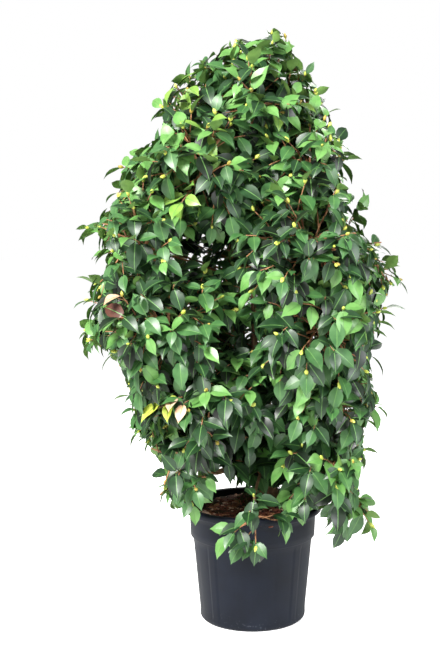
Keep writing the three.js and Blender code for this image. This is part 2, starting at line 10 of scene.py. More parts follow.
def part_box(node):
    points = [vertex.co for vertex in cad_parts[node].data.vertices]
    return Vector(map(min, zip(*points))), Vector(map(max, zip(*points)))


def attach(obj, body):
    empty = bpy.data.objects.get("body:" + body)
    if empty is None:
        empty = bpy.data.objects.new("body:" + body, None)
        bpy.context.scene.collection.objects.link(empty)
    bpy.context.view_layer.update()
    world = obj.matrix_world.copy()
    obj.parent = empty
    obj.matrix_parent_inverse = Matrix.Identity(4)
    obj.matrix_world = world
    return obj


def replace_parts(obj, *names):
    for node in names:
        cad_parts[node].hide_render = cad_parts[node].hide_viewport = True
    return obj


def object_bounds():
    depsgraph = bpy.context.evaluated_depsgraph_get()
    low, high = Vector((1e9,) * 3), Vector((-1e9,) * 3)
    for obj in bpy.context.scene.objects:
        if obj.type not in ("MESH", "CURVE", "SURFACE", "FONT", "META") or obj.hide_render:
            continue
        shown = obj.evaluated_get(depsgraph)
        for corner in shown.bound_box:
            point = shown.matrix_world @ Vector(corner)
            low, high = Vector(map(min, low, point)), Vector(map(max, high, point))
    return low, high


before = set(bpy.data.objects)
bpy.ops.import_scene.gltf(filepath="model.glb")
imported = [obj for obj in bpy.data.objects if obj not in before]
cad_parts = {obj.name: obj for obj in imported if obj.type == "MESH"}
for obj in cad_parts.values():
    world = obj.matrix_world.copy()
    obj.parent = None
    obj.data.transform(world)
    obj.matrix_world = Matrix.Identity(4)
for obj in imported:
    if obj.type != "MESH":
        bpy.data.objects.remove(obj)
CAD_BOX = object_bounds()

# ---- Driving dimensions, as in the CAD source ----

UP = Vector((0, 0, 1))
GOLDEN_ANGLE = math.pi * (3 - math.sqrt(5))

POT_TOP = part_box("pot")[1].z
RIM_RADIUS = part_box("pot")[1].x
POT = {
    "base_radius": 0.188,
    "corner": 0.014,
    "body_radius": 0.214,  # just under the step
    "step": 0.300,
    "collar_radius": 0.221,
    "collar_top": 0.225,
    "rim_depth": 0.024,
    "inner_radius": 0.221,
    "hollow": 0.004,  # of the underside, within its flat edge
    "rim_round": 0.010,
    "floor": 0.360,  # inside, under the mulch
}
SOIL_EDGE = 0.380
SOIL_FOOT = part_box("trunk")[0].z
SOIL_FOOT_RADIUS = 0.078
TRUNK_FOOT = Vector((0.062, 0.026, SOIL_FOOT))
TRUNK_FORK = Vector((0.040, 0.018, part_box("trunk")[1].z))

STEMS = {"count": 5, "turn": 54, "spread": 0.031, "root": 0.015, "tip": 0.0065, "column": 0.072,
         "knee": 0.760}  # the height from which the stems stand clear of each other
BOUGHS = {"root": 0.009, "tip": 0.0045, "rise": 0.230, "above": 0.016, "apart": 0.037}
HIGHEST_BOUGH = 1.200  # masses over this height stand on the stems themselves

# The crown's middle line: height, then x and y.
MIDDLE_LINE = [(0.45, 0.040, 0.018), (0.90, 0.005, 0.004), (1.50, 0, 0), (2.10, 0.010, 0)]
# name, height, radius, reach left, right and deep, count, turn, column
TIERS = [
    ("skirt", 0.590, 0.185, 0.480, 0.480, 0.410, 4, 45, 0.112),
    ("low", 0.805, 0.215, 0.495, 0.505, 0.460, 5, 36, 0.116),
    ("waist", 1.050, 0.245, 0.655, 0.560, 0.530, 6, 0, 0.116),
    ("shoulder", 1.315, 0.245, 0.660, 0.600, 0.530, 5, 0, 0.108),
    ("upper", 1.570, 0.210, 0.525, 0.415, 0.430, 5, 36, 0.096),
    ("top", 1.785, 0.170, 0.365, 0.305, 0.300, 4, 0, 0.060),
]
LEADERS = [
    ("leader_left", (-0.058, -0.034, 1.925), 0.116, 0.98),
    ("leader_right", (0.084, 0.030, 1.940), 0.126, 1.04),
]
SPRAYS = [
    ("spray_left", (-0.292, -0.084, 0.480), 0.098, (-0.8, -0.2, -0.55)),
    ("spray_right", (0.372, -0.096, 0.425), 0.104, (0.75, -0.15, -0.65)),
    ("spray_front", (0.006, -0.305, 0.440), 0.104, (0.05, -0.55, -0.85)),
]
RIM_CLEARANCE = 0.010
SIDE_CLEARANCE = 0.004  # of the leaves from the pot's side
SPACE_GAP = 0.003
# The masses in which the stems end, stem by stem.
TOPMOST = ["foliage_top_2", "leader_left", "foliage_top_3", "foliage_top_4", "leader_right"]

# The furthest shoots of the crown's outline from the front: height, then x.
LEFT_TIPS = [
    (0.395, -0.300), (0.460, -0.352), (0.525, -0.345), (0.600, -0.405), (0.640, -0.450),
    (0.725, -0.465), (0.790, -0.485), (0.915, -0.530), (0.985, -0.640), (1.020, -0.640),
    (1.155, -0.625), (1.210, -0.588), (1.300, -0.558), (1.398, -0.622), (1.500, -0.520),
    (1.600, -0.505), (1.660, -0.425), (1.710, -0.345), (1.830, -0.350), (1.950, -0.235),
    (2.035, -0.070),
]
RIGHT_TIPS = [
    (0.330, 0.455), (0.400, 0.430), (0.460, 0.420), (0.590, 0.440), (0.680, 0.447),
    (0.765, 0.490), (0.910, 0.462), (1.060, 0.490), (1.120, 0.510), (1.188, 0.560),
    (1.255, 0.505), (1.335, 0.480), (1.400, 0.370), (1.500, 0.398), (1.565, 0.330),
    (1.645, 0.368), (1.705, 0.325), (1.795, 0.288), (1.875, 0.250), (1.950, 0.205),
    (2.000, 0.140), (2.070, 0.092),
]
HIGHEST_SHOOTS = (0.05, 0.12)  # where x lies between, over the left outline's end

BODY_SHARE = 0.90  # of the outline, for all but its far shoots
FAR_SHARE = 1.10  # of the outline, for the leaves of its far shoots
SPARE = 0.030  # how far leaves may reach beyond the source's box
DEEPEST = CAD_BOX[1].y + SPARE  # how far the crown reaches in front and behind

TWIGS = {
    "per_area": 290,  # branches of a mass, over its radius squared
    "fewest": 6,
    "of_a_spray": 4,
    "cap": 122,  # degrees from the mass's outward direction
    "share": 0.60,  # where a branch ends, over the reach in its direction
    "stem": 0.0052,
    "branch": 0.0034,
    "shoot": 0.0019,
    "sides": 3,  # side shoots of a branch
    "tries": (1, 0.8, 0.6, 0.4),  # shares of a shoot, until its end keeps to the outline
}
LEAF = {
    "length": 0.094,
    "half_width": 0.255,  # over the length
    "thickness": 0.0010,
    "rib": 0.018,  # half the midrib's width, over the length
    "spacing": 0.021,  # along a shoot
    "fewest": 4,
    "most": 8,
    "tries": (1, 0.85, 0.7),  # shares of its size, until its blade keeps to the outline
}
# A swing is in degrees, to each side of the way that the limb itself faces.
STEM_SHOOTS = {"lowest": 0.560, "apart": 0.034, "length": 0.120, "swing": 80}
TRUNK_SHOOTS = {"lowest": POT_TOP + 0.055, "apart": 0.034, "length": 0.190, "swing": 20}
TRUNK_ROWS = 16  # rows of shoots round the trunk
FAR_SHOOTS = {
    "length": 0.150,
    "depth": 0.160,  # how far apart they may stand in depth
    "low": 0.500,  # shoots under this height stand further forward
    "forward": 0.090,
    "second": 0.040,  # how much shorter a joint's second shoot is
}
FAR_RISE = {"leader": 0.5, "top": 0.5, "spray": -0.4}  # how far they lean up
BUDS = {
    "share": 0.70,  # of the outer shoots, that carry some
    "more": 2.6,  # which gives one to three of them
    "length": 0.015,
    "longer": 0.007,  # at most
}
SEEDS = {"left": 101, "right": 102, "stems": 103, "mulch": 301}
# A leaf's outline: how far along, and the half width there over the widest.
LEAF_OUTLINE = [(0.07, 0.06), (0.20, 0.58), (0.38, 0.95), (0.56, 0.98), (0.75, 0.66), (0.90, 0.20)]
LEAF_ROW = 5  # its points at each of these: left edge, rib's two sides, right edge, underside
BLADE, MIDRIB, UNDERSIDE = range(3)


def lerp(a, b, t):
    return a + (b - a) * t


def seeded(seed):
    """The source's seeded numbers, from 0 to 1."""
    state = seed * 7919 + 12345

    def draw():
        nonlocal state
        state = (state * 1664525 + 1013904223) % 4294967296
        return state / 4294967296

    return draw


def square_to(direction):
    """Two directions square to the given one, and to each other."""
    helper = Vector((1, 0, 0)) if abs(direction.z) > 0.9 else UP
    u = helper.cross(direction).normalized()
    return u, direction.cross(u).normalized()


def along_rows(rows, z):
    """The values of a list of rows at a height, straight between them."""
    k = 0
    while k < len(rows) - 2 and z > rows[k + 1][0]:
        k += 1
    t = min(1, max(0, (z - rows[k][0]) / (rows[k + 1][0] - rows[k][0])))
    return [lerp(a, b, t) for a, b in zip(rows[k][1:], rows[k + 1][1:])]


def middle(z):
    x, y = along_rows(MIDDLE_LINE, z)
    return Vector((x, y, z))


def add_object(name, data):
    """A new object, in the scene."""
    thing = bpy.data.objects.new(name, data)
    bpy.context.scene.collection.objects.link(thing)
    return thing


# ---- The camera ----

CAMERA_PLACE = Vector((0, -3.69, 1.33))
CAMERA_DROP = 4.7  # degrees below the horizon
FRAME_WIDTH, FRAME_HEIGHT = 440, 660  # pixels
FOCAL = 1050  # pixels
POT_PIXEL = 252.6  # the pot's axis, from the frame's left edge


def make_camera():
    data = bpy.data.cameras.new("camera")
    data.sensor_width = 36
    data.lens = data.sensor_width * FOCAL / FRAME_HEIGHT
    data.shift_x = -(POT_PIXEL - FRAME_WIDTH / 2) / FRAME_HEIGHT
    camera = add_object("camera", data)
    camera.location = CAMERA_PLACE
    camera.rotation_euler = (math.radians(90 - CAMERA_DROP), 0, 0)
    bpy.context.scene.camera = camera


def from_the_front(point):
    """Where a point shows on the plane through the pot's axis: x and height."""
    scale = -CAMERA_PLACE.y / (point.y - CAMERA_PLACE.y)
    return point.x * scale, CAMERA_PLACE.z + (point.z - CAMERA_PLACE.z) * scale


def in_outline(point, share):
    """Whether a point keeps to a share of the crown's outline, and to its depth."""
    if abs(point.y) > DEEPEST or not CAD_BOX[0].x - SPARE < point.x < CAD_BOX[1].x + SPARE:
        return False
    x, z = from_the_front(point)
    if z > RIGHT_TIPS[-1][0]:
        return False
    if z > LEFT_TIPS[-1][0]:
        return HIGHEST_SHOOTS[0] < x < HIGHEST_SHOOTS[1]
    left = along_rows(LEFT_TIPS, z)[0]
    right = along_rows(RIGHT_TIPS, z)[0]
    return left * share <= x <= right * share


# ---- Materials ----

def tone(code):
    """A linear colour from a six-digit sRGB code."""
    channels = [int(code[k:k + 2], 16) / 255 for k in (0, 2, 4)]
    linear = [c / 12.92 if c <= 0.04045 else ((c + 0.055) / 1.055) ** 2.4 for c in channels]
    return (*linear, 1)


def add_node(tree, kind, **inputs):
    """A shader node, with a value or another node's output for its inputs; _ is a space."""
    node = tree.nodes.new("ShaderNode" + kind)
    for name, value in inputs.items():
        socket = node.inputs[name.replace("_", " ")]
        if isinstance(value, bpy.types.NodeSocket):
            tree.links.new(value, socket)
        else:
            socket.default_value = value
    return node


ROUGHNESS_SPREAD = 0.08
RAMP_PLACES = (0.32, 0.68)  # of the noise, where the low and the high tone lie
FINISHES = {}  # by name, as Blender may know another material by the same name


def mottled(name, low, high, scale, roughness, bump=0.1, depth=0.001, stretch=(1, 1, 1),
            specular=0.5, detail=4):
    """A finish whose colour, roughness and relief follow one noise between two tones."""
    material = bpy.data.materials.new(name)
    material.use_nodes = True
    tree = material.node_tree
    place = add_node(tree, "TexCoord")
    mapping = add_node(tree, "Mapping", Vector=place.outputs["Object"], Scale=stretch)
    grain = add_node(tree, "TexNoise", Vector=mapping.outputs["Vector"], Scale=scale, Detail=detail)
    value = grain.outputs["Fac"]
    ramp = add_node(tree, "ValToRGB", Fac=value)
    for element, ramp_place, code in zip(ramp.color_ramp.elements, RAMP_PLACES, (low, high)):
        element.position = ramp_place
        element.color = tone(code)
    least, most = roughness - ROUGHNESS_SPREAD, roughness + ROUGHNESS_SPREAD
    rough = add_node(tree, "MapRange", Value=value, To_Min=least, To_Max=most)
    relief = add_node(tree, "Bump", Height=value, Strength=bump, Distance=depth)
    shader = tree.nodes["Principled BSDF"]
    shader.inputs["Specular IOR Level"].default_value = specular
    tree.links.new(ramp.outputs["Color"], shader.inputs["Base Color"])
    tree.links.new(rough.outputs["Result"], shader.inputs["Roughness"])
    tree.links.new(relief.outputs["Normal"], shader.inputs["Normal"])
    FINISHES[name] = material
    return material


# Leaf tones: from the crown's inside, darkened there as painted shade, to its young tips, then those
# of the odd leaves.
LEAF_TONES = [
    # The deepest tone is mostly painted shade for the leaves inside the crown; a few leaves
    # elsewhere get it as random variation.
    ("leaf_deep_shade", "09150a", "10220f"),
    ("leaf_dark", "163017", "223f22"),
    ("leaf_mid", "2f562c", "416838"),
    ("leaf_fresh", "4f7f3c", "658f4c"),
    ("leaf_bright", "628c38", "7d9c46"),
    ("leaf_lime", "a9bc3e", "c3cf56"),
    ("leaf_tan", "b98a6a", "d8b49a"),
    ("leaf_rust", "42231a", "573327"),
]
DEEP_SHADE, DARK, MID, FRESH, BRIGHT, LIME, TAN, RUST = range(len(LEAF_TONES))
RIB = len(LEAF_TONES)

# Leaves of another colour: x and height from the front, tone and how many.
ODD_LEAVES = [
    (-0.336, 0.749, LIME, 2), (-0.273, 0.742, TAN, 2), (-0.519, 1.150, TAN, 1),
    (-0.473, 1.069, RUST, 2),
]
ODD_WITHIN = 0.035


def make_materials():
    for name, low, high in LEAF_TONES:
        mottled(name, low, high, 34, 0.40, bump=0.12, depth=0.002)
    mottled("leaf_rib", "4a7038", "5d8548", 40, 0.45)
    mottled("leaf_underside", "56793a", "6f9148", 30, 0.55, bump=0.15)
    mottled("twig", "7a5236", "a8764e", 60, 0.6, bump=0.3, stretch=(1, 1, 0.3))
    mottled(
        "bark", "5c4534", "8f7052", 90, 0.8, bump=0.6, depth=0.003, stretch=(1, 1, 0.2), detail=8)
    mottled("bud", "9fae3a", "c9cf62", 80, 0.42)
    mottled("bud_scale", "8a7a34", "a8953e", 90, 0.5)


# ---- Meshes of many small things ----

def make_piece(name, points, faces, slots, finishes, slot, sharp=None, smooth=True):
    """One joined mesh from arrays of points and triangles, which rides on the one body."""
    mesh = bpy.data.meshes.new(name)
    mesh.vertices.add(len(points))
    mesh.vertices.foreach_set("co", np.asarray(points, np.float32).ravel())
    mesh.loops.add(3 * len(faces))
    mesh.loops.foreach_set("vertex_index", np.asarray(faces, np.int32).ravel())
    mesh.polygons.add(len(faces))
    mesh.polygons.foreach_set("loop_start", np.arange(0, 3 * len(faces), 3, dtype=np.int32))
    mesh.polygons.foreach_set("material_index", np.asarray(slots, np.int32))
    mesh.update(calc_edges=True)
    mesh.polygons.foreach_set("use_smooth", np.full(len(faces), smooth))
    if sharp is not None:
        ends = np.empty(2 * len(mesh.edges), np.int32)
        mesh.edges.foreach_get("vertices", ends)
        ends = ends.reshape(-1, 2)
        mark = mesh.attributes.new("sharp_edge", "BOOLEAN", "EDGE")
        mark.data.foreach_set("value", sharp[ends[:, 0]] & sharp[ends[:, 1]])
    for finish in finishes:
        mesh.materials.append(FINISHES[finish])
    piece = add_object(name, mesh)
    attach(piece, "root")
    return piece


def ring_squares(rings, sides):
    """The first two corners of each square between rings of points, one ring after another."""
    for k in range(rings):
        for i in range(sides):
            yield k * sides + i, k * sides + (i + 1) % sides


class Heap:
    """Points and triangles of many things, gathered for one piece."""

    def __init__(self):
        self.points = []
        self.faces = []
        self.slots = []
        self.count = 0

    def add(self, points, faces, slot):
        self.points.append(np.asarray(points, float))
        self.faces.append(np.asarray(faces, int) + self.count)
        self.slots.append(np.full(len(faces), slot))
        self.count += len(points)

    def tube(self, points, radii, sides, slot=0, apex=None, relief=None):
        """A closed skin round a line of points."""
        rings = []
        last = len(points) - 1
        helper = square_to((points[-1] - points[0]).normalized())[0]
        for k, point in enumerate(points):
            heading = (points[min(k + 1, last)] - points[max(k - 1, 0)]).normalized()
            v = heading.cross(helper).normalized()
            u = v.cross(heading).normalized()
            for i in range(sides):
                angle = 2 * math.pi * i / sides
                radius = radii[k]
                if relief:
                    radius *= relief(angle, k, point)
                rings.append(point + (u * math.cos(angle) + v * math.sin(angle)) * radius)
        faces = []
        for a, b in ring_squares(last, sides):
            faces += [(a, b, b + sides), (a, b + sides, a + sides)]
        rings += [points[0], apex or points[-1]]
        for i in range(sides):
            j = (i + 1) % sides
            faces.append((len(rings) - 2, j, i))
            faces.append((last * sides + i, last * sides + j, len(rings) - 1))
        self.add(rings, faces, slot)

    def piece(self, name, finishes, slot, smooth=True):
        arrays = [np.concatenate(rows) for rows in (self.points, self.faces, self.slots)]
        return make_piece(name, *arrays, finishes, slot, smooth=smooth)


# ---- Leaves ----

def leaf_template():
    """A leaf's points as how far along, how far across and whether under, and its faces."""
    rows = [(0, 0, 0), (1, 0, 0)]
    for t, width in LEAF_OUTLINE:
        rib = LEAF["rib"] / LEAF["half_width"] * (1 - 0.6 * t)
        for s, under in ((-width, 0), (-rib, 0), (rib, 0), (width, 0), (0, 1)):
            rows.append((t, s, under))
    faces = []
    slots = []

    def face(corners, slot):
        faces.append(corners)
        slots.append(slot)

    def strip(a, b, c, d, slot):
        face((a, b, c), slot)
        face((a, c, d), slot)

    first = 2  # after the leaf's foot and its tip
    last = first + LEAF_ROW * (len(LEAF_OUTLINE) - 1)
    upper = (BLADE, MIDRIB, BLADE)
    for i, slot in enumerate(upper):
        face((0, first + i + 1, first + i), slot)
        face((1, last + i, last + i + 1), slot)
    for near in range(first, last, LEAF_ROW):
        far = near + LEAF_ROW
        for i, slot in enumerate(upper):
            strip(near + i, near + i + 1, far + i + 1, far + i, slot)
        strip(near, far, far + 4, near + 4, UNDERSIDE)
        strip(near + 4, far + 4, far + 3, near + 3, UNDERSIDE)
    for point, end, way in ((0, first, 1), (1, last, -1)):
        face((point, end, end + 4)[::way], UNDERSIDE)
        face((point, end + 4, end + 3)[::way], UNDERSIDE)
    edge = np.array([k < first or (k - first) % LEAF_ROW in (0, 3) for k in range(len(rows))])
    return np.array(rows, float), np.array(faces), np.array(slots), edge


LEAF_ROWS, LEAF_FACES, LEAF_SLOTS, LEAF_EDGE = leaf_template()


def leaves_piece(name, leaves, nodes):
    """All leaves of a tier as one mesh. A leaf is root, along, up, length, curl, fold, tone."""
    root, along, up = (np.array([leaf[k] for leaf in leaves])[:, None, :] for k in range(3))
    length, curl, fold = (np.array([leaf[k] for leaf in leaves])[:, None] for k in (3, 4, 5))
    shade = np.array([leaf[6] for leaf in leaves])
    side = np.cross(up, along)
    t, s, under = LEAF_ROWS.T
    across = s * LEAF["half_width"] * length
    run = length * (t - curl**2 * t**3 / 6)
    tip = np.clip((t - 0.75) / 0.25, 0, 1) ** 2
    drop = -length * (curl * t**2 / 2 + 0.05 * tip)
    wave = 0.012 * length * np.sin(9 * t + 40 * curl) * np.abs(s)
    lift = drop + fold * np.abs(across) + wave - under * LEAF["thickness"]
    points = root + along * run[..., None] + side * across[..., None] + up * lift[..., None]
    count = len(leaves)
    faces = LEAF_FACES[None] + (np.arange(count) * len(LEAF_ROWS))[:, None, None]
    slots = np.where(LEAF_SLOTS == BLADE, shade[:, None], RIB + LEAF_SLOTS - MIDRIB)
    finishes = [row[0] for row in LEAF_TONES] + ["leaf_rib", "leaf_underside"]
    sharp = np.tile(LEAF_EDGE, count)
    piece = make_piece(
        name, points.reshape(-1, 3), faces.reshape(-1, 3), slots.ravel(), finishes, "foliage",
        sharp=sharp)
    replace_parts(piece, *nodes)


# ---- Spaces of the foliage masses ----

class Mass:
    """A mass's space: a ball, stretched upright, between the flat walls of its neighbours."""

    def __init__(self, name, tier, centre, radius, stretch, outward, azimuth=0.0):
        self.name = name
        self.tier = tier
        self.centre = centre
        self.radius = radius
        self.stretch = stretch
        self.outward = outward
        self.azimuth = azimuth
        self.walls = []
        self.foot = None

    def reach(self, direction):
        rise = direction.z / self.stretch
        distance = self.radius / math.sqrt(direction.x**2 + direction.y**2 + rise**2)
        for normal, offset in self.walls:
            speed = normal.dot(direction)
            if speed > 1e-6:
                distance = min(distance, (offset - normal.dot(self.centre)) / speed)
        return max(distance, 0)


def signed_power(value, power):
    return math.copysign(abs(value) ** power, value)


def tier_masses(name, z, radius, left, right, deep, count, turn, column):
    masses = []
    for k in range(count):
        azimuth = math.radians(turn + 360 / count * k)
        across = signed_power(math.cos(azimuth), 0.6)
        back = signed_power(math.sin(azimuth), 0.7)
        side = right if across > 0 else left
        centre = Vector((across * (side - radius), back * (deep - radius), z))
        line = middle(z)
        inward = line - centre
        inward.z = 0
        inward.normalize()
        outward = (UP * 0.2 - inward).normalized()
        azimuth = math.atan2(-inward.y, -inward.x)
        mass = Mass(f"foliage_{name}_{k + 1}", name, centre, radius, 1, outward, azimuth)
        mass.walls.append((inward, inward.dot(line) - column))
        masses.append(mass)
    return masses


def describe_masses():
    masses = [mass for tier in TIERS for mass in tier_masses(*tier)]
    for name, place, radius, stretch in LEADERS:
        masses.append(Mass(name, "leader", Vector(place), radius, stretch, UP.copy()))
    for name, place, radius, out in SPRAYS:
        centre = Vector(place)
        away = Vector((centre.x, centre.y, 0)).normalized()
        azimuth = math.atan2(away.y, away.x)
        mass = Mass(name, "spray", centre, radius, 1, Vector(out).normalized(), azimuth)
        mass.walls.append((-away, -(RIM_RADIUS + RIM_CLEARANCE)))
        masses.append(mass)
    for number, mass in enumerate(masses, 1):
        mass.number = number
        if mass.tier == "skirt":
            mass.walls.append((-UP, -(POT_TOP + RIM_CLEARANCE)))
        for other in masses:
            if other is mass:
                continue
            across = other.centre - mass.centre
            far = other.centre.length_squared - other.radius**2
            near = mass.centre.length_squared - mass.radius**2
            offset = (far - near) / (2 * across.length) - SPACE_GAP
            mass.walls.append((across.normalized(), offset))
    return masses


# ---- Stems and boughs ----

class Limb:
    """A tapering limb along a curve, which is a function of 0 to 1."""

    def __init__(self, curve, root, tip, azimuth=0.0):
        self.curve = curve
        self.root = root
        self.tip = tip
        self.azimuth = azimuth
        self.boughs = 0

    def tangent(self, t):
        step = 1e-4
        return (self.curve(min(1, t + step)) - self.curve(max(0, t - step))).normalized()

    def at_height(self, z):
        low, high = 0, 1
        for _ in range(30):
            t = (low + high) / 2
            if self.curve(t).z < z:
                low = t
            else:
                high = t
        return low


def catmull_rom(points):
    """A centripetal Catmull-Rom curve through the points."""
    ends = [points[0] * 2 - points[1], *points, points[-1] * 2 - points[-2]]

    def curve(t):
        place = t * (len(points) - 1)
        k = min(int(place), len(points) - 2)
        w = place - k
        p0, p1, p2, p3 = ends[k:k + 4]
        d0, d1, d2 = (math.sqrt((b - a).length) for a, b in ((p0, p1), (p1, p2), (p2, p3)))
        leave = ((p1 - p0) / d0 - (p2 - p0) / (d0 + d1) + (p2 - p1) / d1) * d1
        arrive = ((p2 - p1) / d1 - (p3 - p1) / (d1 + d2) + (p3 - p2) / d2) * d1
        square = (p2 - p1) * 3 - leave * 2 - arrive
        cube = (p1 - p2) * 2 + leave + arrive
        return p1 + leave * w + square * w**2 + cube * w**3

    return curve


def bezier(a, b, c, d):
    return lambda t: (
        a * (1 - t) ** 3 + b * (3 * t * (1 - t) ** 2) + c * (3 * t**2 * (1 - t)) + d * t**3)


def grow_stem(azimuth, tip):
    out = Vector((math.cos(azimuth), math.sin(azimuth), 0))
    start = TRUNK_FORK + out * STEMS["spread"]
    knee = STEMS["knee"]
    half = lerp(knee, tip.z, 0.5)
    points = [start, start + UP * 0.030, middle(knee) + out * (STEMS["column"] * 0.95)]
    points += [middle(half) + out * STEMS["column"], tip]
    return Limb(catmull_rom(points), STEMS["root"], STEMS["tip"], azimuth)


def grow_bough(stem, tip, arrival, size):
    lowest = TRUNK_FORK.z + BOUGHS["above"]
    height = max(lowest, tip.z - BOUGHS["rise"]) + BOUGHS["apart"] * stem.boughs
    stem.boughs += 1
    t = stem.at_height(height)
    root = stem.curve(t)
    span = (tip - root).length
    leaving = ((tip - root).normalized() + stem.tangent(t)).normalized()
    curve = bezier(root, root + leaving * (span * 0.35), tip - arrival * (span * 0.3), tip)
    thick = lerp(stem.root, stem.tip, t)
    return Limb(curve, min(BOUGHS["root"] * size, thick * 0.8), BOUGHS["tip"])


def entry(mass, drop):
    """Where a limb ends at a mass, on the side of the crown's middle line and the ground."""
    inward = Vector((-math.cos(mass.azimuth), -math.sin(mass.azimuth), 0))
    direction = (inward * (1 - drop) - UP * drop).normalized()
    return mass.centre + direction * (mass.radius * 0.72)


def grow_limbs(masses):
    named = {mass.name: mass for mass in masses}
    stems = []
    boughs = []
    for k, name in enumerate(TOPMOST):
        mass = named[name]
        azimuth = math.radians(STEMS["turn"] + 360 / STEMS["count"] * k)
        tip = mass.centre - UP * (mass.radius * 0.8) if mass.tier == "leader" else entry(mass, 0.6)
        stem = grow_stem(azimuth, tip)
        mass.foot = stem.curve(1)
        stems.append(stem)
    for mass in sorted((m for m in masses if not m.foot), key=lambda m: m.centre.z):
        if mass.centre.z < HIGHEST_BOUGH:
            stem = min(stems, key=lambda s: 1 - math.cos(s.azimuth - mass.azimuth))
            spray = mass.tier == "spray"
            tip = entry(mass, -0.3 if spray else 0.3)
            arrival = (mass.centre - tip).normalized()
            bough = grow_bough(stem, tip, arrival, 0.75 if spray else 1)
            mass.foot = bough.curve(1)
            boughs.append(bough)
        else:
            z = mass.centre.z - mass.radius * 0.4
            feet = [stem.curve(stem.at_height(z)) for stem in stems]
            mass.foot = min(feet, key=lambda foot: (foot - mass.centre).length)
    return stems, boughs


# ---- Growing the crown ----

